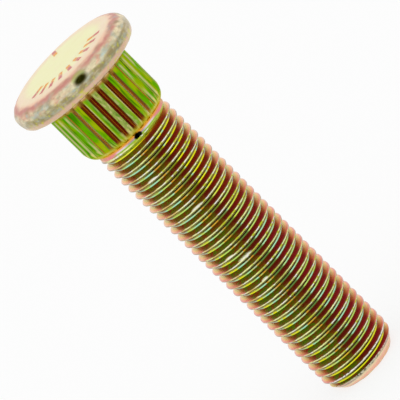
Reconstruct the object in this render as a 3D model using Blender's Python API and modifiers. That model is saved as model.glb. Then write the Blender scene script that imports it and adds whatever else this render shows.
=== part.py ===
"""A serrated wheel stud with a 7/16-20 UNF thread, modelled as one forged and rolled solid.

It stands on its threaded end with the axis along +Z, and every height is worked out from the end face at Z = 0.
"""

import math

import bmesh
import bpy
from mathutils import Matrix

# Lengths along the axis
SHANK_LENGTH = 0.05209  # from the end face to the underside of the head
HEAD_THICKNESS = 0.00322
SHOULDER_LENGTH = 0.00853  # serrated shoulder, measured down from the head
NECK_LENGTH = 0.00062  # plain neck between the shoulder and the first turn of the thread

# Head, a flat disc with a forged, softly rounded rim
HEAD_RADIUS = 0.00925
HEAD_FACE_RADIUS = 0.0067  # where the flat outer face ends and the rim starts to fall
RIM_CREST_DEPTH = 0.0017  # widest line of the rim, measured down from the outer face
UNDERSIDE_RIM_WIDTH = 0.0006  # radial width of the rounding below that line
FILLET_RADIUS = 0.0009  # hollow fillet between the underside and the shoulder

# Serrated shoulder, pressed into the hub
SERRATIONS = 28
SERRATION_RADIUS = 0.00634
SERRATION_DEPTH = 0.00043
LAND_SHARE = 0.4  # part of each serration's pitch that is land, the rest is its V groove
SERRATION_TURN = math.radians(-90.95)  # direction of one land's middle, seen from +Z
SHOULDER_ROUND_LENGTH = 0.002  # axial length of the shoulder's rounded end
SHOULDER_ROUND_SWELL = 0.00004  # how far the rounding's curve starts outside the lands

# Neck and thread
NECK_RADIUS = 0.00531
MAJOR_RADIUS = 0.0055563
THREAD_PITCH = 0.00127
CREST_FLAT = 0.00016  # width of the flat crest, an eighth of this thread's pitch
ROOT_FLAT = 0.00032  # width of the flat root, a quarter of this thread's pitch
FLANK_ANGLE = math.radians(30)  # each flank from square to the axis
FIRST_CREST_HEIGHT = 0.04204  # height of one crest where it passes the +X side
RUN_OUT_LENGTH = 0.00095  # length in which the thread fades into the neck

# Threaded end
END_FACE_RADIUS = 0.00434
END_CHAMFER_ANGLE = math.radians(36.9)  # from the axis

# Damage: a dent in the rim and a pit in the neck, both on the -Y side
DENT_WIDTH = 0.002
DENT_HEIGHT = 0.0009
DENT_DEPTH = 0.00032
DENT_BELOW_FACE = 0.00126
DENT_TURN = math.radians(-90.3)
PIT_WIDTH = 0.001
PIT_HEIGHT = 0.00056
PIT_DEPTH = 0.0002
PIT_BELOW_SHOULDER = 0.00036
PIT_TURN = math.radians(-88.7)

# Fineness of the facets
TURN_STEPS = 56
THREAD_STEPS = 24
ARC_STEPS = 5

# Overlaps that bury one shape in the next, so that a union has no faces in common
OVERLAP = 0.0005
SINK = 0.00011

# Where each turned shape's facets start, so that no corner of one falls on an edge of another
BLANK_TURN = math.radians(2.2)
SHOULDER_FORM_TURN = math.radians(1.2)
THREAD_FORM_TURN = math.radians(0.7)

UNDERSIDE = SHANK_LENGTH
HEAD_TOP = UNDERSIDE + HEAD_THICKNESS
SHOULDER_END = UNDERSIDE - SHOULDER_LENGTH
THREAD_TOP = SHOULDER_END - NECK_LENGTH
GROOVE_RADIUS = SERRATION_RADIUS - SERRATION_DEPTH
FLANK_HEIGHT = (THREAD_PITCH - CREST_FLAT - ROOT_FLAT) / 2  # what one flank takes along the axis
ROOT_RADIUS = MAJOR_RADIUS - FLANK_HEIGHT / math.tan(FLANK_ANGLE)


def remove_everything():
    for obj in list(bpy.data.objects):
        bpy.data.objects.remove(obj)


def new_collection(name):
    collection = bpy.data.collections.new(name)
    bpy.context.scene.collection.children.link(collection)
    return collection


def zinc_chromate():
    """Yellow-passivated zinc: a metal whose thin film shows as gold and green."""
    material = bpy.data.materials.new("yellow_zinc_chromate")
    material.use_nodes = True
    shader = material.node_tree.nodes["Principled BSDF"]
    shader.inputs["Base Color"].default_value = (0.5, 0.44, 0.1, 1)
    shader.inputs["Metallic"].default_value = 1
    shader.inputs["Roughness"].default_value = 0.32
    return material


def hide(obj):
    obj.hide_render = True
    obj.display_type = "WIRE"
    return obj


def quarter_ellipse(centre, radial, axial, start, end):
    """Points (r, z) round a quarter of an ellipse from one angle to another, 0 being straight out and 90 straight up."""
    points = []
    for step in range(ARC_STEPS + 1):
        angle = math.radians(start + (end - start) * step / ARC_STEPS)
        points.append((centre[0] + radial * math.cos(angle), centre[1] + axial * math.sin(angle)))
    return points


def turned(name, profile, collection, turn=0.0):
    """A solid of revolution: the profile's (r, z) points run down the outside, from the axis back to the axis."""
    mesh = bpy.data.meshes.new(name)
    across, along = math.cos(turn), math.sin(turn)
    points = [(r * across, r * along, z) for r, z in profile]
    mesh.from_pydata(points, [(i, i + 1) for i in range(len(profile) - 1)], [])
    obj = bpy.data.objects.new(name, mesh)
    collection.objects.link(obj)
    screw = obj.modifiers.new("Turn", "SCREW")
    screw.axis = "Z"
    screw.steps = screw.render_steps = TURN_STEPS
    screw.use_merge_vertices = True
    screw.merge_threshold = 1e-6
    return obj


def combine(obj, other, operation):
    boolean = obj.modifiers.new(other.name, "BOOLEAN")
    boolean.operation = operation
    boolean.solver = "EXACT"
    boolean.object = other


def evaluated_mesh(obj):
    bpy.context.view_layer.update()
    return bpy.data.meshes.new_from_object(obj.evaluated_get(bpy.context.evaluated_depsgraph_get()))


def close_and_weld(mesh):
    """Weld doubled points, fill any open ends, and make flat triangles that face out."""
    bm = bmesh.new()
    bm.from_mesh(mesh)
    bmesh.ops.remove_doubles(bm, verts=bm.verts, dist=1e-7)
    bmesh.ops.holes_fill(bm, edges=[edge for edge in bm.edges if edge.is_boundary])
    bmesh.ops.triangulate(bm, faces=bm.faces)
    bmesh.ops.recalc_face_normals(bm, faces=bm.faces)
    bm.to_mesh(mesh)
    bm.free()


def blank(collection):
    """Head, fillet, a core inside the shoulder, and the neck, which runs out as a cone inside the thread."""
    rim_crest = HEAD_TOP - RIM_CREST_DEPTH
    core_radius = GROOVE_RADIUS - SINK
    profile = [(0, HEAD_TOP)]
    profile += quarter_ellipse(
        (HEAD_FACE_RADIUS, rim_crest), HEAD_RADIUS - HEAD_FACE_RADIUS, RIM_CREST_DEPTH, 90, 0
    )
    profile += quarter_ellipse(
        (HEAD_RADIUS - UNDERSIDE_RIM_WIDTH, rim_crest), UNDERSIDE_RIM_WIDTH, rim_crest - UNDERSIDE, 0, -90
    )[1:]
    profile += quarter_ellipse(
        (core_radius + FILLET_RADIUS, UNDERSIDE - FILLET_RADIUS), FILLET_RADIUS, FILLET_RADIUS, 90, 180
    )
    profile += [
        (core_radius, SHOULDER_END + OVERLAP),
        (NECK_RADIUS, SHOULDER_END + OVERLAP / 2),
        (NECK_RADIUS, THREAD_TOP),
        (ROOT_RADIUS - SINK, THREAD_TOP - RUN_OUT_LENGTH),
        (0, THREAD_TOP - RUN_OUT_LENGTH - OVERLAP),
    ]
    return turned("wheel_stud_blank", profile, collection, BLANK_TURN)


def serration_prism(collection):
    """The toothed outline of the shoulder, extruded from inside the head to inside the neck."""
    pitch_angle = 2 * math.pi / SERRATIONS
    corners = []
    for tooth in range(SERRATIONS):
        middle = SERRATION_TURN + tooth * pitch_angle
        for radius, turn in (
            (SERRATION_RADIUS, -LAND_SHARE / 2),
            (SERRATION_RADIUS, LAND_SHARE / 2),
            (GROOVE_RADIUS, 1 / 2),
        ):
            angle = middle + turn * pitch_angle
            corners.append((radius * math.cos(angle), radius * math.sin(angle)))
    top, bottom = UNDERSIDE + OVERLAP, SHOULDER_END - OVERLAP
    outline = bpy.data.curves.new("serration_outline", "CURVE")
    outline.dimensions = "2D"
    outline.fill_mode = "BOTH"
    outline.extrude = (top - bottom) / 2
    spline = outline.splines.new("POLY")
    spline.points.add(len(corners) - 1)
    for point, corner in zip(spline.points, corners):
        point.co = (*corner, 0, 1)
    spline.use_cyclic_u = True
    drawn = bpy.data.objects.new("serration_outline", outline)
    collection.objects.link(drawn)
    mesh = evaluated_mesh(drawn)
    bpy.data.objects.remove(drawn)
    mesh.transform(Matrix.Translation((0, 0, (top + bottom) / 2)))
    close_and_weld(mesh)
    prism = bpy.data.objects.new("serrations", mesh)
    collection.objects.link(prism)
    return prism


def shoulder_form(collection):
    """What the serrations are trimmed to: straight, then rounded down to the neck like the end of a barrel."""
    round_start = SHOULDER_END + SHOULDER_ROUND_LENGTH
    swell = SERRATION_RADIUS + SHOULDER_ROUND_SWELL
    profile = [(0, UNDERSIDE + 2 * OVERLAP), (swell, UNDERSIDE + 2 * OVERLAP)]
    inner = NECK_RADIUS - SINK
    profile += quarter_ellipse((inner, round_start), swell - inner, SHOULDER_ROUND_LENGTH, 0, -90)
    profile.append((0, SHOULDER_END))
    return turned("shoulder_form", profile, collection, SHOULDER_FORM_TURN)


def thread_helix(collection):
    """The whole thread's outline swept through one turn while it rises one pitch, right-handed, and closed at its ends."""
    crest_middle = FLANK_HEIGHT + CREST_FLAT / 2
    turns_below = math.ceil((FIRST_CREST_HEIGHT + OVERLAP) / THREAD_PITCH) + 1
    bottom = FIRST_CREST_HEIGHT - crest_middle - turns_below * THREAD_PITCH
    turns = math.ceil((THREAD_TOP + OVERLAP - bottom) / THREAD_PITCH) + 1
    outline = [(0, bottom)]
    for turn in range(turns):
        foot = bottom + turn * THREAD_PITCH
        outline += [
            (ROOT_RADIUS, foot),
            (MAJOR_RADIUS, foot + FLANK_HEIGHT),
            (MAJOR_RADIUS, foot + FLANK_HEIGHT + CREST_FLAT),
            (ROOT_RADIUS, foot + 2 * FLANK_HEIGHT + CREST_FLAT),
        ]
    outline.append((0, bottom + turns * THREAD_PITCH - ROOT_FLAT))
    outline.reverse()
    helix = turned("thread", outline, collection)
    sweep = helix.modifiers["Turn"]
    sweep.steps = sweep.render_steps = THREAD_STEPS
    sweep.screw_offset = THREAD_PITCH
    sweep.use_merge_vertices = False
    mesh = evaluated_mesh(helix)
    helix.modifiers.clear()
    close_and_weld(mesh)
    helix.data = mesh
    return helix


def thread_form(collection):
    """What the thread is trimmed to: the end chamfer, the crests' clearance, and the run-out up to the neck."""
    clear = MAJOR_RADIUS + SINK
    chamfer_top = (clear - END_FACE_RADIUS) / math.tan(END_CHAMFER_ANGLE)
    profile = [
        (0, THREAD_TOP + SINK),
        (NECK_RADIUS - SINK, THREAD_TOP + SINK),
        (clear, THREAD_TOP - RUN_OUT_LENGTH),
        (clear, chamfer_top),
        (END_FACE_RADIUS, 0),
        (0, 0),
    ]
    return turned("thread_form", profile, collection, THREAD_FORM_TURN)


def scoop(name, width, height, depth, radius, z, turn, collection):
    """An egg-shaped cutter whose middle lies on the surface, so that it scoops out a hollow of this depth."""
    bm = bmesh.new()
    bmesh.ops.create_uvsphere(bm, u_segments=12, v_segments=8, radius=1)
    size = Matrix.Diagonal((depth, width / 2, height / 2, 1))
    place = Matrix.Rotation(turn, 4, "Z") @ Matrix.Translation((radius, 0, z))
    bmesh.ops.transform(bm, matrix=place @ size, verts=bm.verts)
    mesh = bpy.data.meshes.new(name)
    bm.to_mesh(mesh)
    bm.free()
    cutter = bpy.data.objects.new(name, mesh)
    collection.objects.link(cutter)
    return cutter


def build():
    remove_everything()
    part = new_collection("wheel_stud")
    cutters = new_collection("cutters")

    serrations = hide(serration_prism(cutters))
    combine(serrations, hide(shoulder_form(cutters)), "INTERSECT")
    thread = hide(thread_helix(cutters))
    combine(thread, hide(thread_form(cutters)), "INTERSECT")
    dent = hide(
        scoop(
            "rim_dent", DENT_WIDTH, DENT_HEIGHT, DENT_DEPTH, HEAD_RADIUS, HEAD_TOP - DENT_BELOW_FACE,
            DENT_TURN, cutters,
        )
    )
    pit = hide(
        scoop(
            "neck_pit", PIT_WIDTH, PIT_HEIGHT, PIT_DEPTH, NECK_RADIUS, SHOULDER_END - PIT_BELOW_SHOULDER,
            PIT_TURN, cutters,
        )
    )

    forging = hide(blank(cutters))
    for other, operation in (
        (serrations, "UNION"),
        (thread, "UNION"),
        (dent, "DIFFERENCE"),
        (pit, "DIFFERENCE"),
    ):
        combine(forging, other, operation)

    mesh = evaluated_mesh(forging)
    mesh.name = "wheel_stud"
    mesh.shade_smooth()
    mesh.set_sharp_from_angle(angle=math.radians(25))
    mesh.materials.clear()
    mesh.materials.append(zinc_chromate())
    stud = bpy.data.objects.new("wheel_stud", mesh)
    part.objects.link(stud)


build()
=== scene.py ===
import bpy
import numpy as np
from mathutils import Matrix, Vector


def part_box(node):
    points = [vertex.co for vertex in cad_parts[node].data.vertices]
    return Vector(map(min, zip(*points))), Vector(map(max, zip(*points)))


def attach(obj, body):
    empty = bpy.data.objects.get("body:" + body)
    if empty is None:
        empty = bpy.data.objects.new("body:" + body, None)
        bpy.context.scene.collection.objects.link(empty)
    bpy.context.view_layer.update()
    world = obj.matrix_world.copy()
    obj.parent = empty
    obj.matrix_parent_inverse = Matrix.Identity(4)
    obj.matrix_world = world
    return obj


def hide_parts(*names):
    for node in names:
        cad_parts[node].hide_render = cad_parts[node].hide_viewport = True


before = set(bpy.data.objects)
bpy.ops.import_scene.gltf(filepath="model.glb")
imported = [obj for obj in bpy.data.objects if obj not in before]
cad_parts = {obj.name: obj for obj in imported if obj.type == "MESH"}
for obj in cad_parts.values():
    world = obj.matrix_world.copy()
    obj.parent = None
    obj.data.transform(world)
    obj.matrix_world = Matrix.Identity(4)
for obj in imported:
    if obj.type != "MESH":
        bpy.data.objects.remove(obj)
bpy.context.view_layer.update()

# Forged head
# The head is upset from the bar of steel in one blow. Its outer face is flat, its rim is left round
# and uneven from the die, and plain raised ticks stand on the face. A zinc plating with a thin
# yellow chromate film covers the whole stud: cream on the face, silvery on the rim. On the rim,
# highlights, shade and a rose band of reflection are painted into the colour, and shade and a
# highlight into its dent.

MM = 0.001
SAME_PLACE = 1e-5
HEAD_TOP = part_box("wheel_stud")[1].z / MM
HEAD_THICKNESS = 3.22
UNDERSIDE = HEAD_TOP - HEAD_THICKNESS
FACE_RADIUS = 6.7
FACE_SINK = 0.09
FACE_HEIGHT = HEAD_TOP - FACE_SINK
RIM_CREST = HEAD_TOP - 1.7
RIM_RADIUS = 9.22
SEAT_RADIUS = RIM_RADIUS - 0.6
RIM_UNEVEN = 0.022
RIM_INWARD = 1.2
RIM_SET_IN = 1.5
RIM_LUMP, RIM_SMALL_LUMP = 1.6, 0.7

TICK_STEP = 15
TICK_TURNS = np.radians([*range(-150, -29, TICK_STEP), 90])
TICK_INNER, TICK_OUTER = 4.5, 6.5
TICK_WIDTH = 0.42
TICK_SLOPE = 0.16
TICK_RISE = FACE_SINK - 0.01
FINE_ROWS_FROM = TICK_INNER - 0.2

DENT_TURN = -90
DENT_HEIGHT = HEAD_TOP - 1.26
DENT_HALF_WIDTH, DENT_HALF_HEIGHT = 1.0, 0.45
DENT_DEPTH = 0.26

METAL_SPECULAR = 0.15
SHEEN_ROUGHNESS = 0.25
SHEEN_FROM, SHEEN_FULL = 0.4, 0.72


def line(start, end, steps):
    """Evenly spaced points (r, z) from one point up to, but without, the other."""
    share = np.linspace(0, 1, steps, endpoint=False)[:, None]
    return np.array(start) * (1 - share) + np.array(end) * share


def arc(start, end, centre, radial, axial, steps):
    """Points (r, z) on an ellipse about a centre, for angles from start to end in degrees, 0 pointing
    straight out: r = centre + radial cos, z = centre + axial sin. The last point is left out."""
    angle = np.radians(np.linspace(start, end, steps, endpoint=False))
    return np.stack([centre[0] + radial * np.cos(angle), centre[1] + axial * np.sin(angle)], 1)


def unevenness(points, size, seed, waves=20):
    """A smooth irregular height between about -1 and 1 at each point in space: the sum of sine waves
    in random directions, with wavelengths from 0.6 to 1.6 times a size, over the root of how many
    there are."""
    chance = np.random.default_rng(seed)
    direction = chance.normal(size=(waves, 3))
    direction /= np.linalg.norm(direction, axis=1, keepdims=True)
    number = 2 * np.pi / (size * chance.uniform(0.6, 1.6, (waves, 1)))
    offset = chance.uniform(0, 2 * np.pi, waves)
    return np.sin(points @ (direction * number).T + offset).sum(-1) / np.sqrt(waves)


def round_the_axis(radius, turn, height):
    """Points in space from radii, angles round the axis and heights: (r cos, r sin, z)."""
    return np.stack(np.broadcast_arrays(radius * np.cos(turn), radius * np.sin(turn), height), -1)


def angle_off(turn, centre):
    """How far an angle lies from another, the short way round, in radians."""
    return (turn - centre + np.pi) % (2 * np.pi) - np.pi


def hollow(points, degrees, height, radius, half_width, half_height):
    """The share of a bowl-shaped hollow's depth at each point: 1 - d^2, with d the distance from
    its middle as a share of its half sizes, and 0 outside."""
    turn = np.arctan2(points[..., 1], points[..., 0])
    across = angle_off(turn, np.radians(degrees)) * radius / half_width
    along = (points[..., 2] - height) / half_height
    return np.clip(1 - across**2 - along**2, 0, 1)


def surface(name, points, shift=0):
    """A closed surface from a grid of points in millimetres, rows by columns, whose columns run round
    the axis. Each quad joins a point to the next column and the next row. Where the last column
    meets the first, its rows are moved on by shift, one pitch of a helix. Points at one place are
    made one point, and triangles that shrink to a line are left out, which closes the poles."""
    rows, columns = points.shape[:2]
    row, column = np.meshgrid(np.arange(rows), np.arange(columns), indexing="ij")
    next_row = np.where(column == columns - 1, row + shift, row)
    inside = (row < rows - 1) & (next_row < rows - 1) & (next_row >= 0)
    a = (row * columns + column)[inside]
    b = (next_row * columns + (column + 1) % columns)[inside]
    halves = [np.stack([a, a + columns, b + columns], 1), np.stack([a, b + columns, b], 1)]
    points = points.reshape(-1, 3)
    places = np.round(points / SAME_PLACE)
    _, first, index = np.unique(places, axis=0, return_index=True, return_inverse=True)
    triangles = index.reshape(-1)[np.concatenate(halves)]
    whole = (triangles != np.roll(triangles, 1, axis=1)).all(axis=1)
    used, corners = np.unique(triangles[whole], return_inverse=True)
    mesh = bpy.data.meshes.new(name)
    mesh.from_pydata(points[first][used] * MM, [], corners.reshape(-1, 3))
    mesh.shade_smooth()
    piece = bpy.data.objects.new(name, mesh)
    bpy.context.scene.collection.objects.link(piece)
    return piece


def tick_height(turn, radius):
    """The share of a tick's height at a place on the face: 1 on top of a radial bar, falling to 0
    over the slope of its sides and ends."""
    share = np.zeros(np.broadcast(turn, radius).shape)
    for tick in TICK_TURNS:
        beside = np.abs(angle_off(turn, tick)) * radius - TICK_WIDTH / 2
        beyond = np.maximum(TICK_INNER - radius, radius - TICK_OUTER)
        share = np.maximum(share, np.clip(1 - np.maximum(beside, beyond) / TICK_SLOPE, 0, 1))
    return share


def film(red, green, blue):
    """A colour, of the film or of light and shade painted on it, given as its three display values
    from 0 to 255, as the linear colour that a shader takes."""
    display = np.array([red, green, blue]) / 255
    linear = np.where(display < 0.04045, display / 12.92, ((display + 0.055) / 1.055) ** 2.4)
    return (*linear.tolist(), 1)


class Paint:
    """A value or a colour inside a material. Arithmetic on it adds Math nodes, and add adds others."""

    def __init__(self, tree, socket):
        self.tree = tree
        self.socket = socket

    def add(self, kind, settings, inputs, output=0):
        """A new node of a kind: its settings are made first, and then its sockets are set to values
        or linked to other paints. What comes back is one of its outputs."""
        node = self.tree.nodes.new(kind)
        for setting, value in settings.items():
            setattr(node, setting, value)
        for socket, value in inputs.items():
            if isinstance(value, Paint):
                self.tree.links.new(value.socket, node.inputs[socket])
            else:
                node.inputs[socket].default_value = value
        return Paint(self.tree, node.outputs[output])

    def math(self, operation, *values):
        return self.add("ShaderNodeMath", {"operation": operation}, dict(enumerate(values)))

    def __add__(self, other):
        return self.math("ADD", self, other)

    def __sub__(self, other):
        return self.math("SUBTRACT", self, other)

    def __rsub__(self, other):
        return self.math("SUBTRACT", other, self)

    def __mul__(self, other):
        return self.math("MULTIPLY", self, other)

    def __truediv__(self, other):
        return self.math("DIVIDE", self, other)

    __radd__ = __add__
    __rmul__ = __mul__

    def size(self):
        return self.math("ABSOLUTE", self)

    def fraction(self):
        return self.math("FRACT", self)

    def cosine(self):
        return self.math("COSINE", self)

    def either(self, other):
        return self.math("MAXIMUM", self, other)

    def rise(self, low, high):
        """0 up to low and 1 from high on, with a smooth step between. If low is above high it falls."""
        inputs = {"Value": self, "From Min": low, "From Max": high}
        return self.add("ShaderNodeMapRange", {"interpolation_type": "SMOOTHSTEP"}, inputs)

    def near(self, middle, reach, edge):
        """1 within a reach of a middle value, and 0 from an edge's width beyond it."""
        return (self - middle).size().rise(reach + edge, reach)


class Coat:
    """The plated surface of one region: where each point lies, in millimetres and round the axis, the
    masks and noises that follow from it, and the finish."""

    def __init__(self, name):
        self.material = bpy.data.materials.new(name)
        self.material.use_nodes = True
        self.tree = self.material.node_tree
        self.tree.nodes.clear()
        place = Paint(self.tree, self.tree.nodes.new("ShaderNodeTexCoord").outputs["Object"])
        scaled = {0: place, "Scale": 1 / MM}
        self.place = place.add("ShaderNodeVectorMath", {"operation": "SCALE"}, scaled)
        self.x = place.add("ShaderNodeSeparateXYZ", {}, {0: self.place})
        self.y = Paint(self.tree, self.x.socket.node.outputs["Y"])
        self.z = Paint(self.tree, self.x.socket.node.outputs["Z"])
        self.turn = place.math("ARCTAN2", self.y, self.x)
        self.radius = place.math("SQRT", self.x * self.x + self.y * self.y)

    def layers(self, colour, *covers):
        """A colour with others laid over it one after the other, each where its mask is 1."""
        for cover, mask in covers:
            inputs = {0: mask, 6: colour, 7: cover}
            colour = self.place.add("ShaderNodeMix", {"data_type": "RGBA"}, inputs, 2)
        return colour

    def towards(self, degrees):
        """The cosine of the angle between each point's direction from the axis and a given one."""
        turn = np.radians(degrees)
        return (self.x * np.cos(turn) + self.y * np.sin(turn)) / self.radius

    def noise(self, size, seed, stretch=(1, 1, 1), detail=2):
        """Smooth noise from 0 to 1, about 0.5 on average, with lumps of a size in millimetres that
        are stretched along the axes."""
        scaled = {0: self.place, 1: tuple(1 / (size * along) for along in stretch)}
        place = self.place.add("ShaderNodeVectorMath", {"operation": "MULTIPLY"}, scaled)
        inputs = {"Vector": place, "W": seed, "Scale": 1.0, "Detail": detail}
        return self.place.add("ShaderNodeTexNoise", {"noise_dimensions": "4D"}, inputs)

    def spot(self, degrees, height, half_width, half_height, edge):
        """1 in an oval on the side of the stud, about a turn and a height, and softly 0 outside it."""
        turn = np.radians(degrees)
        across = (self.y * np.cos(turn) - self.x * np.sin(turn)) / half_width
        along = (self.z - height) / half_height
        inside = (across * across + along * along).rise(1 + edge, 1 - edge)
        return inside * self.towards(degrees).rise(0, 0.1)

    def finish(self, colour, metallic, roughness, bump, bump_height, film_colour, film_mask, grazing):
        """The metal under its colour, with a bump, and a clear film over it that mirrors its
        surroundings the more, the flatter the surface is looked at. The metal's own reflection there
        is white times the grazing colour."""
        bumped = {"Height": bump, "Distance": bump_height * MM, "Strength": 1.0}
        normal = self.place.add("ShaderNodeBump", {}, bumped)
        body = {"Base Color": colour, "Metallic": metallic, "Roughness": roughness, "Normal": normal}
        body["Specular IOR Level"] = METAL_SPECULAR
        body["Specular Tint"] = grazing
        metal = self.place.add("ShaderNodeBsdfPrincipled", {}, body)
        gloss = {"Base Color": film_colour, "Metallic": 1.0, "Roughness": SHEEN_ROUGHNESS}
        sheen = self.place.add("ShaderNodeBsdfPrincipled", {}, gloss)
        flat = self.place.add("ShaderNodeLayerWeight", {}, {"Blend": 0.5}, 1)
        mask = flat.rise(SHEEN_FROM, SHEEN_FULL) * film_mask
        both = self.place.add("ShaderNodeMixShader", {}, {0: mask, 1: metal, 2: sheen})
        output = self.tree.nodes.new("ShaderNodeOutputMaterial")
        self.tree.links.new(both.socket, output.inputs["Surface"])


head_profile = np.concatenate(
    [
        line((0, FACE_HEIGHT), (FINE_ROWS_FROM, FACE_HEIGHT), 3),
        line((FINE_ROWS_FROM, FACE_HEIGHT), (FACE_RADIUS, FACE_HEIGHT), 20),
        arc(90, 0, (FACE_RADIUS, RIM_CREST), RIM_RADIUS - FACE_RADIUS, FACE_HEIGHT - RIM_CREST, 26),
        arc(0, -90, (SEAT_RADIUS, RIM_CREST), RIM_RADIUS - SEAT_RADIUS, RIM_CREST - UNDERSIDE, 12),
    ]
)

CREAM = film(240, 238, 188)
PALE_PINK = film(242, 220, 192)
PEACH = film(240, 200, 172)
ROSE_BAND_REFLECTION = film(204, 136, 126)
RIM_GREY = film(196, 188, 156)
RIM_HIGHLIGHT = film(240, 226, 188)
RIM_BLUE = film(176, 190, 182)
RIM_SHADE = film(150, 140, 96)
RIM_ROSY = film(214, 158, 136)
RIM_LOW = film(226, 186, 160)
LEMON = film(206, 204, 56)
DENT_SHADE = film(58, 52, 8)
DENT_LIP_HIGHLIGHT = film(160, 184, 84)
DENT_DEEP_SHADE = film(24, 26, 2)
TICK_GOLD = film(236, 160, 60)
TICK_ROSE = film(206, 112, 112)
HEAD_SHEEN = film(226, 206, 172)
WHITE = film(255, 255, 255)

# depth runs down from the head's top, and facing is 1 straight ahead and straight back
head = Coat("head_film_and_painted_light")
depth = HEAD_TOP - head.z
facing = head.towards(-90).size()
lumps = head.noise(0.9, 1, (1.6, 1.6, 1), 1)
streaks = head.noise(0.45, 2, (4, 4, 1), 1)
spots = head.noise(0.7, 3, (1.6, 1.6, 1))
grain = head.noise(0.3, 4)
patches = head.noise(1.6, 5)
swirls = head.noise(0.5, 7, (3, 3, 1), 1)

# nine ticks stand in a row round the near side of the face, evenly apart, and one on the far side
TICK_EDGE = (0.42, 0.22)
ROW_END = np.cos(np.radians((64, 63)))
ticks = head.layers(TICK_GOLD, (TICK_ROSE, head.radius.rise(5.0, 5.9)))
off_tick = ((head.turn * (180 / np.pi) + TICK_STEP / 2) / TICK_STEP).fraction() - 0.5
beside_tick = (off_tick * head.radius * np.radians(TICK_STEP)).size()
tick_row = beside_tick.rise(*TICK_EDGE) * head.towards(-90).rise(*ROW_END)
far_tick = head.x.size().rise(*TICK_EDGE) * head.y.rise(0, 0.1)
tick_reach = head.radius.near((TICK_INNER + TICK_OUTER) / 2, (TICK_OUTER - TICK_INNER) / 2, 0.15)
face = head.layers(
    CREAM,
    (PALE_PINK, head.radius.rise(5.2, 6.9) * (0.4 + spots)),
    (PALE_PINK, patches.rise(0.5, 0.8) * 0.3),
    (ticks, tick_row.either(far_tick) * tick_reach * grain.rise(0.2, 0.5)),
)

band_depth = depth + 0.7 * (patches - 0.5)
rim = head.layers(
    RIM_GREY,
    (RIM_ROSY, spots.rise(0.42, 0.7)),
    # painted reflection: the top of the rim turns rosy towards the sides
    (RIM_ROSY, depth.rise(1.2, 0.7) * facing.rise(0.85, 0.5) * 0.6),
    (RIM_BLUE, swirls.rise(0.42, 0.72)),
    # painted shade: olive streaks and flecks on the rim, and a band low on its rounded side
    (RIM_SHADE, streaks.rise(0.42, 0.72) * 0.8),
    # painted highlights: soft pale blobs on the rim, mostly partway down it
    (RIM_HIGHLIGHT, lumps.rise(0.4, 0.72) * depth.near(1.1, 0.2, 0.8)),
    (RIM_HIGHLIGHT, swirls.rise(0.46, 0.24) * 0.7),
    (RIM_SHADE, grain.rise(0.5, 0.75) * 0.3),
    (RIM_SHADE, depth.near(2.0, 0.3, 0.4) * spots.rise(0.3, 0.65) * 0.9),
    (RIM_LOW, depth.rise(2.3, 2.7) * 0.8),
    (LEMON, depth.rise(0.8, 2.4) * head.noise(0.5, 6).rise(0.54, 0.7) * 0.6),
    (LEMON, depth.rise(2.1, 2.5) * patches.rise(0.54, 0.64) * 0.8),
    # painted reflection: a rose band round the rounded edge between face and rim
    (ROSE_BAND_REFLECTION, band_depth.near(0.45, 0.04, 0.42) * (0.35 + 0.6 * lumps.rise(0.3, 0.65))),
    (PEACH, band_depth.rise(0.44, 0.16)),
)
dent_lip = head.spot(DENT_TURN, DENT_HEIGHT + 0.4, 1.0, 0.4, 0.6)
dent_bowl = head.spot(DENT_TURN, DENT_HEIGHT, DENT_HALF_WIDTH, DENT_HALF_HEIGHT, 0.8)
dent_middle = head.spot(DENT_TURN, DENT_HEIGHT, 0.7, 0.28, 0.8)
head.finish(
    colour=head.layers(
        face,
        (rim, depth.rise(FACE_SINK + 0.03, FACE_SINK + 0.2)),
        # painted light and shade in the dent: a highlight on its upper lip, shade in its bowl and deeper
        # shade in its middle
        (DENT_LIP_HIGHLIGHT, dent_lip * 0.6),
        (DENT_SHADE, dent_bowl),
        (DENT_DEEP_SHADE, dent_middle * grain.rise(0.3, 0.5) * 0.8),
    ),
    metallic=1.0,
    roughness=0.3 + 0.2 * lumps,
    bump=lumps + 0.5 * spots,
    bump_height=0.02,
    film_colour=HEAD_SHEEN,
    film_mask=depth.rise(0.6, 1.2) * 0.4,
    grazing=WHITE,
)

# Serrated shoulder and neck
# Below a small fillet the shoulder is rolled with 28 straight serrations that bite into a hub's
# hole. They fade out over its rounded end, and the neck after it keeps the diameter of the blank.
# The film is lime green on the lands, maroon in the grooves and lilac on the neck. Highlights
# on the lands, the rounded end and the neck, shadow under the head, shade in the grooves and pit,
# and reflections in the grooves towards the sides are painted in.

SHOULDER_LENGTH = 8.53
SHOULDER_END = UNDERSIDE - SHOULDER_LENGTH
NECK_LENGTH = 0.62
THREAD_TOP = SHOULDER_END - NECK_LENGTH
SERRATIONS = 28
COLUMNS_PER_SERRATION = 16
LAND_RADIUS = 6.34
GROOVE_RADIUS = 5.9
LAND_SHARE = 0.4
LAND_TURN = np.radians(-90.95)
LAND_ROUNDING = 0.05
FILLET_RADIUS = 0.9
FILLET_INSET = 0.5
ROUND_LENGTH = 2.0
ROUND_SWELL = 0.04
NECK_RADIUS = 5.31
CORE_RADIUS = 4.6
CORE_END = THREAD_TOP - 1

PIT_TURN = -88.7
PIT_HEIGHT = SHOULDER_END - 0.36
PIT_HALF_WIDTH, PIT_HALF_HEIGHT = 0.6, 0.36
PIT_DEPTH = 0.3


def soft_least(a, b, blend):
    """The smaller of two values, with the corner between them rounded off: min - h^2 / (4 blend),
    where h is how much closer than blend the two values are."""
    h = np.maximum(blend - np.abs(a - b), 0)
    return np.minimum(a, b) - h * h / (4 * blend)


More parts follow.
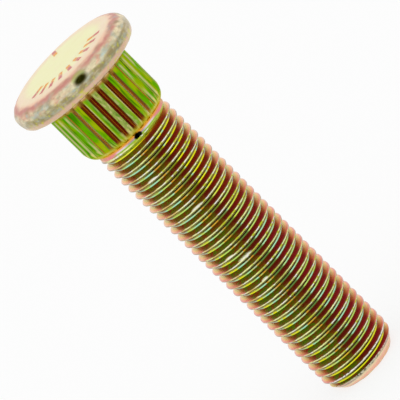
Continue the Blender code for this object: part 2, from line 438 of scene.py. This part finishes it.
def serrated_radius(turn):
    """The shoulder's radius round the axis: flat lands, and V grooves that fall evenly from a land's
    edge to the middle of the groove, with the edges rounded off."""
    half_pitch = np.pi / SERRATIONS
    off_land = np.abs((turn - LAND_TURN + half_pitch) % (2 * half_pitch) - half_pitch) / half_pitch
    share = (off_land - LAND_SHARE) / (1 - LAND_SHARE)
    flank = LAND_RADIUS - (LAND_RADIUS - GROOVE_RADIUS) * share
    return soft_least(flank, np.full_like(flank, LAND_RADIUS), LAND_ROUNDING)


fillet_centre = (LAND_RADIUS - FILLET_INSET + FILLET_RADIUS, UNDERSIDE - FILLET_RADIUS)
round_start = SHOULDER_END + ROUND_LENGTH
round_depth = LAND_RADIUS + ROUND_SWELL - NECK_RADIUS
fillet = np.concatenate(
    [
        line((SEAT_RADIUS, UNDERSIDE), (fillet_centre[0], UNDERSIDE), 3),
        arc(90, 180, fillet_centre, FILLET_RADIUS, FILLET_RADIUS, 8),
    ]
)
serrated = np.concatenate(
    [
        line((LAND_RADIUS, fillet_centre[1]), (LAND_RADIUS, round_start), 14),
        arc(0, -90, (NECK_RADIUS, round_start), round_depth, ROUND_LENGTH, 16),
    ]
)
neck = np.concatenate(
    [
        line((NECK_RADIUS, SHOULDER_END), (NECK_RADIUS, THREAD_TOP), 6),
        line((NECK_RADIUS, THREAD_TOP), (CORE_RADIUS, CORE_END), 2),
        line((CORE_RADIUS, CORE_END), (0, CORE_END), 1),
        [(0, CORE_END)],
    ]
)
columns = SERRATIONS * COLUMNS_PER_SERRATION
turn = LAND_TURN + 2 * np.pi * np.arange(columns) / columns
toothed = serrated_radius(turn)
smooth = np.zeros(columns)
radius = np.concatenate(
    [
        head_profile[:, :1] + smooth,
        np.maximum(fillet[:, :1], toothed),
        np.minimum(serrated[:, :1], toothed),
        neck[:, :1] + smooth,
    ]
)
height = np.concatenate([head_profile, fillet, serrated, neck])[:, 1:]
height = height + TICK_RISE * tick_height(turn, radius) * (height > RIM_CREST)
points = round_the_axis(radius, turn, height)
rim_share = np.clip((np.linalg.norm(points[..., :2], axis=-1) - FACE_RADIUS) / RIM_SET_IN, 0, 1)
lumpy = unevenness(points, RIM_LUMP, 3) + 0.5 * unevenness(points, RIM_SMALL_LUMP, 4)
uneven = RIM_UNEVEN * rim_share * (lumpy - RIM_INWARD)
dent = DENT_DEPTH * hollow(points, DENT_TURN, DENT_HEIGHT, RIM_RADIUS, DENT_HALF_WIDTH, DENT_HALF_HEIGHT)
pit = PIT_DEPTH * hollow(points, PIT_TURN, PIT_HEIGHT, NECK_RADIUS, PIT_HALF_WIDTH, PIT_HALF_HEIGHT)
points = round_the_axis(radius + uneven - dent - pit, turn, height)
head_and_shoulder = surface("head_and_shoulder", points)

LIME = film(98, 166, 2)
YELLOW_GREEN = film(154, 174, 8)
GREEN = film(52, 120, 4)
PALE_LAND_HIGHLIGHT = film(164, 164, 98)
LAND_HIGHLIGHT = film(200, 190, 134)
MAROON = film(112, 18, 6)
GROOVE_BROWN = film(120, 40, 8)
GROOVE_SHADE = film(56, 30, 4)
GROOVE_SIDE_REFLECTION = film(178, 166, 92)
GOLD_LINE = film(190, 120, 20)
UNDER_HEAD_SHADOW = film(170, 136, 56)
SEAT_PINK = film(232, 190, 156)
END_ORANGE = film(240, 178, 30)
END_YELLOW = film(190, 174, 34)
END_HIGHLIGHT = film(220, 206, 120)
NECK_ORANGE = film(232, 160, 84)
NECK_PINK = film(236, 142, 148)
NECK_LILAC = film(176, 158, 160)
NECK_HIGHLIGHT = film(240, 228, 236)
NECK_GREEN = film(152, 192, 60)
PIT_SHADE = film(0, 0, 0)
NECK_SHEEN = film(232, 190, 170)
LAND_GRAZING = film(200, 230, 130)

shoulder = Coat("shoulder_film_and_painted_light")
side = ((shoulder.turn - LAND_TURN) * (SERRATIONS / (2 * np.pi)) + 0.5).fraction() - 0.5
off_land = side.size() * 2
streaks = shoulder.noise(0.5, 11, (1, 1, 8))
patches = shoulder.noise(1.6, 12, (1, 1, 2))
fine = shoulder.noise(0.3, 13, (1, 1, 3))
from_end = shoulder.z - SHOULDER_END
from_head = UNDERSIDE - shoulder.z

# off_land is 0 on a land's middle and 1 on a groove's, and outward runs across each land from -0.5
# to 0.5, away from where the shoulder faces straight ahead or straight back
facing = shoulder.towards(-90).size()
outward = side * (shoulder.x.rise(-0.4, 0.4) * 2 - 1)
middle_land = facing.rise(0.97, 0.995)
land = shoulder.layers(
    LIME,
    (YELLOW_GREEN, patches.rise(0.5, 0.62)),
    (GREEN, streaks.rise(0.5, 0.66) * 0.9),
    (YELLOW_GREEN, outward.rise(-0.1, 0.2) * facing.rise(0.86, 0.92) * 0.7),
    # painted highlight: lands that face straight ahead are paler, with light flecks
    (PALE_LAND_HIGHLIGHT, middle_land * 0.6),
    (LAND_HIGHLIGHT, middle_land * fine.rise(0.52, 0.62) * 0.7),
    (GREEN, middle_land * fine.rise(0.46, 0.36) * 0.6),
)
spread = facing.rise(0.88, 0.72)
groove_edge = LAND_SHARE + 0.06 + 0.3 * spread
in_groove = off_land.rise(groove_edge, groove_edge + 0.1)
groove = shoulder.layers(
    MAROON,
    (GROOVE_BROWN, outward.rise(0.1, -0.1)),
    # painted shade in a band just inside each groove's edge, then painted reflection lightening the
    # grooves towards the sides
    (GROOVE_SHADE, (off_land - groove_edge).near(0.12, 0.03, 0.08) * 0.8),
    (GROOVE_SIDE_REFLECTION, spread * (0.4 + fine)),
    (GOLD_LINE, off_land.rise(0.8, 0.95) * outward.rise(0.1, -0.1) * (0.4 + streaks)),
    # painted shadow under the head at the grooves' upper ends
    (UNDER_HEAD_SHADOW, from_head.rise(1.5, 1.0) * 0.8),
)
# painted highlights: thin light lines along the lands' edges and walls, placed by how far each faces the
# sides
wall_highlight = (outward - 0.36).size().rise(0.22, 0.1) * facing.near(0.86, 0.03, 0.05)
outer_highlight = (outward - 0.2).size().rise(0.08, 0.03) * facing.near(0.965, 0.01, 0.01)
inner_highlight = (outward + 0.28).size().rise(0.1, 0.02) * facing.rise(0.8, 0.74)
lights = wall_highlight.either(inner_highlight).either(outer_highlight) * streaks.rise(0.36, 0.5)
land_corner = off_land.near(LAND_SHARE, 0.12, 0.25)
glint = from_end.near(0.9, 0.3, 0.6) * land_corner * streaks.rise(0.44, 0.6)
to_side = facing.rise(0.9, 0.7)
shoulder_colour = shoulder.layers(
    land,
    (groove, in_groove * from_end.rise(0.2, 0.8)),
    # painted highlights along the land edges, below the head
    (LAND_HIGHLIGHT, lights * from_head.rise(0.9, 1.6) * 0.8),
    # painted shadow under the head over the lands' upper ends
    (UNDER_HEAD_SHADOW, (from_head + 0.6 * (fine - 0.5)).rise(1.15, 0.75)),
    (SEAT_PINK, from_head.rise(0.85, 0.45)),
    (END_YELLOW, from_end.rise(1.1, 0.4) * 0.8),
    # painted highlights: glints at the lands' corners near the rounded end, and a light band on the end
    # towards the sides
    (END_HIGHLIGHT, glint * (0.5 + 0.5 * to_side)),
    (END_HIGHLIGHT, from_end.near(0.42, 0.1, 0.2) * to_side * 0.6),
    (END_ORANGE, from_end.rise(0.4, 0.2)),
)
# painted highlights: two glints on the neck, left and right of straight ahead
left_glint = shoulder.towards(-119).rise(0.97, 0.999)
right_glint = shoulder.towards(-66).rise(0.97, 0.999)
neck_colour = shoulder.layers(
    NECK_LILAC,
    (NECK_PINK, facing.rise(0.97, 0.8)),
    (NECK_HIGHLIGHT, left_glint.either(right_glint) * 0.7),
    (NECK_ORANGE, from_end.rise(-0.3, -0.15)),
    (NECK_GREEN, from_end.rise(-0.38, -0.5) * facing.rise(0.6, 0.85)),
)
in_pit = shoulder.spot(PIT_TURN, PIT_HEIGHT, PIT_HALF_WIDTH, PIT_HALF_HEIGHT, 0.4)
shoulder.finish(
    colour=shoulder.layers(
        shoulder_colour,
        (neck_colour, from_end.rise(0, -0.1)),
        # painted shade: the pit in the neck is painted black
        (PIT_SHADE, in_pit),
    ),
    metallic=1 - 0.7 * in_groove,
    roughness=0.28 + 0.15 * streaks,
    bump=fine,
    bump_height=0.006,
    film_colour=NECK_SHEEN,
    film_mask=from_end.rise(-0.1, -0.2) * 0.3,
    grazing=LAND_GRAZING,
)

# Rolled thread
# The shank is rolled between dies into a right-handed 7/16-20 thread, with 60 degree flanks. It
# fades into the neck, its crests are rubbed and nicked, and its end is turned to a chamfer that
# runs a little off centre. Light and shade are painted into the film's colours: light on crests,
# roots and the back flanks near the next crest, shade on the back flanks and where the thread faces
# straight ahead, and reflections towards the sides.

PITCH = 1.27
MAJOR_RADIUS = 5.55
CREST_HEIGHT = 42.04
CREST_FLAT = 0.16
THREAD_DEPTH = 0.7
FLANK_SLOPE = 1 / np.tan(np.radians(30))
END_FACE_RADIUS = 4.34
CHAMFER_SLOPE = np.tan(np.radians(36.9))
CHAMFER_OFF_CENTRE = 0.09
CORNER_BLEND = 0.06
RUN_OUT_RADIUS = NECK_RADIUS - 0.11
RUN_OUT_SLOPE = 0.44
THREAD_MESH_TOP = THREAD_TOP + 0.1
ROWS_PER_PITCH = 14
THREAD_COLUMNS = 88
CROWDING = 0.45
RUB_REACH, RUB_DEPTH, RUB_SIZE = 0.2, 0.012, 1.2
SCUFF_HALF_HEIGHT = 0.4
SCUFFS = [
    # angle round the axis, height, half length along the crest, depth
    (-102.5, 22.77, 1.0, 0.07),
    (-118.5, 23.87, 0.8, 0.05),
    (-105.0, 18.89, 0.5, 0.05),
    (-100.6, 31.58, 0.9, 0.06),
    (-117.0, 37.85, 0.8, 0.04),
]


def thread_radius(turn, height):
    """The thread's radius. Its crest runs along height = CREST_HEIGHT + PITCH turns, and away from
    it the radius falls along a 60 degree flank to the root, with both corners rounded."""
    phase = (height - CREST_HEIGHT) / PITCH - turn / (2 * np.pi)
    off_crest = np.abs((phase + 0.5) % 1 - 0.5) * PITCH
    flank = MAJOR_RADIUS - np.maximum(off_crest - CREST_FLAT / 2, 0) * FLANK_SLOPE
    root = np.full_like(flank, MAJOR_RADIUS - THREAD_DEPTH)
    return -soft_least(-flank, -root, CORNER_BLEND)


# the grid's rows follow the helix, closer together on crests and roots, and past either end of the
# thread they run in along a flat face to the axis
first_pitch = np.floor(-CREST_HEIGHT / PITCH) - 2
last_pitch = np.ceil((THREAD_MESH_TOP - CREST_HEIGHT) / PITCH) + 2
step = np.arange(first_pitch * ROWS_PER_PITCH, last_pitch * ROWS_PER_PITCH + 1) / ROWS_PER_PITCH
along = CREST_HEIGHT + PITCH * (step - CROWDING * np.sin(4 * np.pi * step) / (4 * np.pi))
turn = 2 * np.pi * np.arange(THREAD_COLUMNS) / THREAD_COLUMNS
path = along[:, None] + PITCH * turn / (2 * np.pi)
height = np.clip(path, 0, THREAD_MESH_TOP)
radius = thread_radius(turn, height)
points = round_the_axis(radius, turn, height)
rubbed = np.clip((radius - MAJOR_RADIUS + RUB_REACH) / RUB_REACH, 0, 1)
radius = radius - rubbed * RUB_DEPTH * (1 + unevenness(points, RUB_SIZE, 5))
for scuff_turn, scuff_height, half_length, scuff_depth in SCUFFS:
    scuff = hollow(points, scuff_turn, scuff_height, MAJOR_RADIUS, half_length, SCUFF_HALF_HEIGHT)
    worn_radius = np.minimum(radius, MAJOR_RADIUS - scuff_depth * scuff**0.5)
    radius = np.where(scuff > 0, worn_radius, radius)
off_centre = CHAMFER_OFF_CENTRE * np.cos(turn) * np.clip(height, 0, 1)
chamfer_radius = END_FACE_RADIUS + height * CHAMFER_SLOPE - off_centre
radius = soft_least(radius, chamfer_radius, CORNER_BLEND)
radius = np.minimum(radius, RUN_OUT_RADIUS + (THREAD_MESH_TOP - height) * RUN_OUT_SLOPE)
radius = np.where(path < 0, END_FACE_RADIUS * (1 + path / PITCH), radius)
radius = np.where(path > THREAD_MESH_TOP, radius * (1 - (path - THREAD_MESH_TOP) / PITCH), radius)
radius = np.maximum(radius, 0)
points = round_the_axis(radius, turn, height)
thread = surface("thread", points[::-1], -ROWS_PER_PITCH)

CREST_CREAM = film(232, 236, 166)
CREST_SILVER = film(236, 236, 228)
SCUFF_WHITE = film(232, 230, 214)
CREST_GREEN = film(190, 198, 44)
CREST_OLIVE = film(182, 188, 80)
CREST_ORANGE = film(208, 156, 66)
FLANK_MAROON = film(136, 26, 10)
FLANK_PLUM = film(144, 12, 30)
FLANK_AHEAD_SHADE = film(114, 26, 16)
FLANK_BROWN = film(130, 68, 6)
FLANK_GREEN = film(82, 114, 4)
FLANK_SIDE_REFLECTION = film(186, 72, 18)
FLANK_DARK = film(98, 58, 14)
FLANK_ROSE_REFLECTION = film(214, 110, 92)
ROOT_GREEN = film(190, 230, 108)
ROOT_YELLOW = film(238, 240, 20)
ROOT_CYAN = film(172, 236, 196)
ROOT_SHADE = film(112, 130, 8)
ROOT_SHADE_TEAL = film(88, 138, 66)
ROOT_ORANGE = film(216, 160, 50)
ROOT_SIDE_REFLECTION = film(160, 176, 146)
BACK_SHADE = film(28, 32, 2)
BACK_LIT = film(190, 188, 92)
BACK_SIDE_REFLECTION = film(138, 116, 58)
RUN_OUT_GREEN = film(176, 206, 56)
EDGE_CREAM = film(160, 134, 120)
EDGE_PINK = film(248, 196, 168)
EDGE_ROSE = film(238, 156, 150)
EDGE_PEACH = film(246, 192, 118)
EDGE_KHAKI = film(196, 188, 98)
CHAMFER_PINK = film(246, 186, 164)
CHAMFER_CREAM = film(242, 220, 176)
ROUGH_GREY = film(204, 200, 172)
ROUGH_DARK = film(70, 74, 48)

# going up the thread, phase is 0 on a crest, 0.5 in the root and 1 on the next crest, and from_crest
# runs from -0.5 to 0.5 about each crest
shank = Coat("thread_film_and_painted_light")
cycle = (shank.z - CREST_HEIGHT) / PITCH - shank.turn / (2 * np.pi)
phase = cycle.fraction()
from_crest = (cycle + 0.5).fraction() - 0.5
patches = shank.noise(1.5, 21)
lumps = shank.noise(0.6, 22)
fine = shank.noise(0.25, 23)
facing = shank.towards(-90).size()
# painted shade where the thread faces straight ahead, used on the root
shaded_ahead = shank.towards(-87).rise(0.965, 0.99) * 0.9
low = shank.z.rise(34, 22)
first_and_last = shank.z.rise(41.1, 41.6).either(shank.z.rise(4.5, 3.5))
last_turn = shank.z.rise(3.8, 2.6)

on_end_face = shank.z.rise(0.06, 0.03)
on_chamfer = (END_FACE_RADIUS + shank.z * CHAMFER_SLOPE - shank.radius).rise(0.16, 0.08)
on_flank = phase.rise(0.56, 0.52)
on_root = phase.near(0.465, 0.045, 0.04)
scuffed = 0
for scuff_turn, scuff_height, half_length, _ in SCUFFS:
    scuffed = shank.spot(scuff_turn, scuff_height, half_length, 0.15, 0.6).either(scuffed)
on_crest = (from_crest + 0.12 * (lumps - 0.5)).near(-0.045, 0.085, 0.05).either(scuffed)

uneven_edge = 2 * (patches - 0.5) + 2 * (lumps - 0.5)
olive_side = (3 * (shank.turn + np.radians(117) + 0.07 * low) + uneven_edge).cosine().rise(-0.2, 0.5)
by_crest = phase.rise(0.17, 0.1)
# the film's maroon on the flank that faces the head, darkened by a painted reflection of dark
# surroundings, with painted shade where it faces straight ahead
flank = shank.layers(
    FLANK_MAROON,
    (FLANK_PLUM, low * 0.8),
    (FLANK_AHEAD_SHADE, facing.rise(0.86, 0.98)),
    (FLANK_BROWN, olive_side.either(phase.rise(0.28, 0.35) * 0.6)),
    (FLANK_GREEN, olive_side * (0.7 * lumps + 0.3 * patches).rise(0.4, 0.54) * (0.7 + 0.3 * low)),
    (FLANK_MAROON, olive_side * fine.rise(0.5, 0.62) * 0.5),
    (FLANK_DARK, by_crest * 0.8),
    # painted reflection: the flank turns orange-brown towards the sides, and rose there near the crest
    (FLANK_SIDE_REFLECTION, facing.rise(0.64, 0.44)),
    (FLANK_ROSE_REFLECTION, facing.rise(0.7, 0.5) * by_crest),
)
yellow_high = shank.towards(-45).rise(0.68, 0.86) * (1 - low)
yellow_low = shank.towards(-138).rise(0.97, 0.995) * low
orange_patch = 0.35 + 0.65 * lumps.rise(0.46, 0.56)
# the root's bright line is a painted highlight in the film's greens, cyans and yellows
root = shank.layers(
    ROOT_GREEN,
    (ROOT_CYAN, patches.rise(0.42, 0.56)),
    (ROOT_YELLOW, yellow_high.either(yellow_low) * lumps.rise(0.36, 0.5)),
    # painted shade where the root faces straight ahead
    (ROOT_SHADE, shaded_ahead),
    (ROOT_SHADE_TEAL, shaded_ahead * low),
    (ROOT_ORANGE, shank.towards(-103).rise(0.982, 0.994) * orange_patch),
    (ROOT_YELLOW, first_and_last * 0.9),
    # painted reflection: the root turns grey towards the sides
    (ROOT_SIDE_REFLECTION, facing.rise(0.6, 0.4)),
)
# on the flank that faces the end: painted shade near the root, painted light towards the next crest and
# away from straight ahead, and painted reflection towards the sides
lit_back = phase.rise(0.65, 0.86) * 0.9
back = shank.layers(
    BACK_SHADE,
    (BACK_LIT, lit_back.either(shank.towards(-87).rise(0.96, 0.6))),
    (BACK_SIDE_REFLECTION, facing.rise(0.75, 0.5)),
    (RUN_OUT_GREEN, shank.z.rise(42.2, 42.5) * lumps.rise(0.3, 0.5)),
)
worn = (lumps.rise(0.5, 0.6) * patches.rise(0.4, 0.55)).either(last_turn * 0.9)
# the crest's cream is partly the film and partly a painted highlight, and the olive where it faces
# straight ahead is painted shade
crest = shank.layers(
    CREST_CREAM,
    (CREST_OLIVE, facing.rise(0.95, 0.995) * 0.8),
    (CREST_ORANGE, shank.towards(-145).rise(0.9, 0.97) * patches.rise(0.55, 0.45) * 0.7),
    (CREST_GREEN, lumps.rise(0.5, 0.4) * shank.towards(-60).rise(0.6, 0.8)),
    (CREST_OLIVE, fine.rise(0.5, 0.65) * 0.5),
    (CREST_SILVER, worn),
    (SCUFF_WHITE, scuffed * fine.rise(0.3, 0.5)),
    (ROUGH_DARK, last_turn * fine.rise(0.52, 0.64) * 0.8),
)
above_rough_start = shank.z - (0.9 + 0.3 * shank.towards(0) + 0.5 * (lumps - 0.5))
rough = above_rough_start.rise(-0.1, 0.25)
chamfer = shank.layers(
    CHAMFER_PINK,
    (CHAMFER_CREAM, above_rough_start.rise(-0.5, -0.1).either(lumps.rise(0.55, 0.65) * 0.8)),
    (ROUGH_GREY, rough),
    (ROUGH_DARK, rough * fine.rise(0.5, 0.6) * 0.9),
)
off_crest = phase.rise(0.03, 0.09) * on_flank
bright = on_crest.either(on_root).either(on_chamfer).either(on_end_face)
shank.finish(
    colour=shank.layers(
        back,
        (flank, on_flank),
        (root, on_root),
        (crest, on_crest),
        (chamfer, on_chamfer),
        (CHAMFER_CREAM, on_end_face),
    ),
    metallic=0.3 + 0.7 * bright,
    roughness=0.3 + 0.15 * lumps,
    bump=fine,
    bump_height=0.008,
    film_colour=shank.layers(
        EDGE_CREAM,
        (EDGE_PINK, off_crest),
        (EDGE_ROSE, off_crest * low * patches.rise(0.35, 0.5)),
        (EDGE_PEACH, phase.rise(0.1, 0.2) * on_flank),
        (EDGE_KHAKI, phase.rise(0.2, 0.3) * on_flank),
    ),
    film_mask=phase.near(0.19, 0.15, 0.05).either(on_crest) * 0.9,
    grazing=WHITE,
)

# One stud
# Head, shoulder and thread are one piece of steel, so the two surfaces are joined where the neck
# runs into the thread. Each face takes the material of the region that it lies in: its film colours
# and the light and shade painted on it.

SHARP_ANGLE = np.radians(50)

join = head_and_shoulder.modifiers.new("join", "BOOLEAN")
join.operation = "UNION"
join.solver = "MANIFOLD"
join.object = thread
graph = bpy.context.evaluated_depsgraph_get()
steel = bpy.data.meshes.new_from_object(head_and_shoulder.evaluated_get(graph))
stud = bpy.data.objects.new("stud", steel)
bpy.context.scene.collection.objects.link(stud)
bpy.data.objects.remove(head_and_shoulder)
bpy.data.objects.remove(thread)
steel.materials.clear()
for coat in (head, shoulder, shank):
    steel.materials.append(coat.material)
middles = np.empty(len(steel.polygons) * 3)
steel.polygons.foreach_get("center", middles)
middle_height = middles[2::3] / MM
below_head = middle_height < UNDERSIDE - 0.01
below_neck = middle_height < THREAD_TOP
steel.polygons.foreach_set("material_index", below_head.astype(np.int32) + below_neck)
steel.shade_smooth()
steel.set_sharp_from_angle(angle=SHARP_ANGLE)
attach(stud, "root")
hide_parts("wheel_stud")

# Studio floor
# The stud stands on its threaded end on a plain white floor. The camera sees part of its white as
# its own light, so that the background is white, and the rest shows the stud's soft shadow.

FLOOR_SIZE = 4
FLOOR_WHITE = (0.9, 0.9, 0.9, 1)
FLOOR_GLOW = 0.75

bpy.ops.mesh.primitive_plane_add(size=FLOOR_SIZE)
floor = bpy.context.object
floor.name = "floor"
floor_white = bpy.data.materials.new("floor_white")
floor_white.use_nodes = True
floor_tree = floor_white.node_tree
matte = floor_tree.nodes["Principled BSDF"]
matte.inputs["Base Color"].default_value = FLOOR_WHITE
matte.inputs["Roughness"].default_value = 0.9
rays = Paint(floor_tree, floor_tree.nodes.new("ShaderNodeLightPath").outputs["Is Camera Ray"])
mirrored = Paint(floor_tree, rays.socket.node.outputs["Is Glossy Ray"])
through = Paint(floor_tree, rays.socket.node.outputs["Is Transmission Ray"])
seen = rays.either(mirrored).either(through)
glow = rays.add("ShaderNodeEmission", {}, {"Color": WHITE, "Strength": 1.0})
plain = Paint(floor_tree, matte.outputs[0])
shown = rays.add("ShaderNodeMixShader", {}, {0: seen * FLOOR_GLOW, 1: plain, 2: glow})
floor_tree.links.new(shown.socket, floor_tree.nodes["Material Output"].inputs["Surface"])
floor.data.materials.append(floor_white)

# Studio light and camera
# Soft white light comes from all round, and two tall soft lamps in front, left and right, give the
# metal its highlights. The camera looks a little down on the stud and is rolled by 45 degrees.

SKY = 1.0
LAMP_POWER = 0.12
LAMP_SIZE = (0.12, 0.3)
LAMP_PLACES = [(-0.35, -0.38, 0.16), (0.38, -0.36, 0.2)]
STUD_MIDDLE = Vector((0, 0, 0.03))

AIM = Vector((-0.174, 0, 30.39)) * MM
DISTANCE = 389.2 * MM
TILT = np.radians(16.306)
ROLL = np.radians(-45.2)
LENS = 283.2

for number, place in enumerate(LAMP_PLACES, 1):
    name = f"lamp_{number}"
    lamp = bpy.data.objects.new(name, bpy.data.lights.new(name, "AREA"))
    lamp.data.shape = "RECTANGLE"
    lamp.data.size, lamp.data.size_y = LAMP_SIZE
    lamp.data.energy = LAMP_POWER
    lamp.location = place
    lamp.rotation_euler = (STUD_MIDDLE - lamp.location).to_track_quat("-Z", "Y").to_euler()
    bpy.context.scene.collection.objects.link(lamp)

world = bpy.data.worlds.new("studio")
world.use_nodes = True
world_tree = world.node_tree
background = world_tree.nodes["Background"]
background.inputs["Color"].default_value = WHITE
background.inputs["Strength"].default_value = SKY
bpy.context.scene.world = world
bpy.context.scene.view_settings.view_transform = "Standard"

camera = bpy.data.objects.new("camera", bpy.data.cameras.new("camera"))
camera.data.lens = LENS
camera.data.sensor_width = 36
camera.data.clip_start = 0.01
pose = Matrix.Rotation(np.pi / 2 - TILT, 4, "X") @ Matrix.Rotation(ROLL, 4, "Z")
camera.matrix_world = Matrix.Translation(AIM + pose.to_3x3() @ Vector((0, 0, DISTANCE))) @ pose
bpy.context.scene.collection.objects.link(camera)
bpy.context.scene.camera = camera
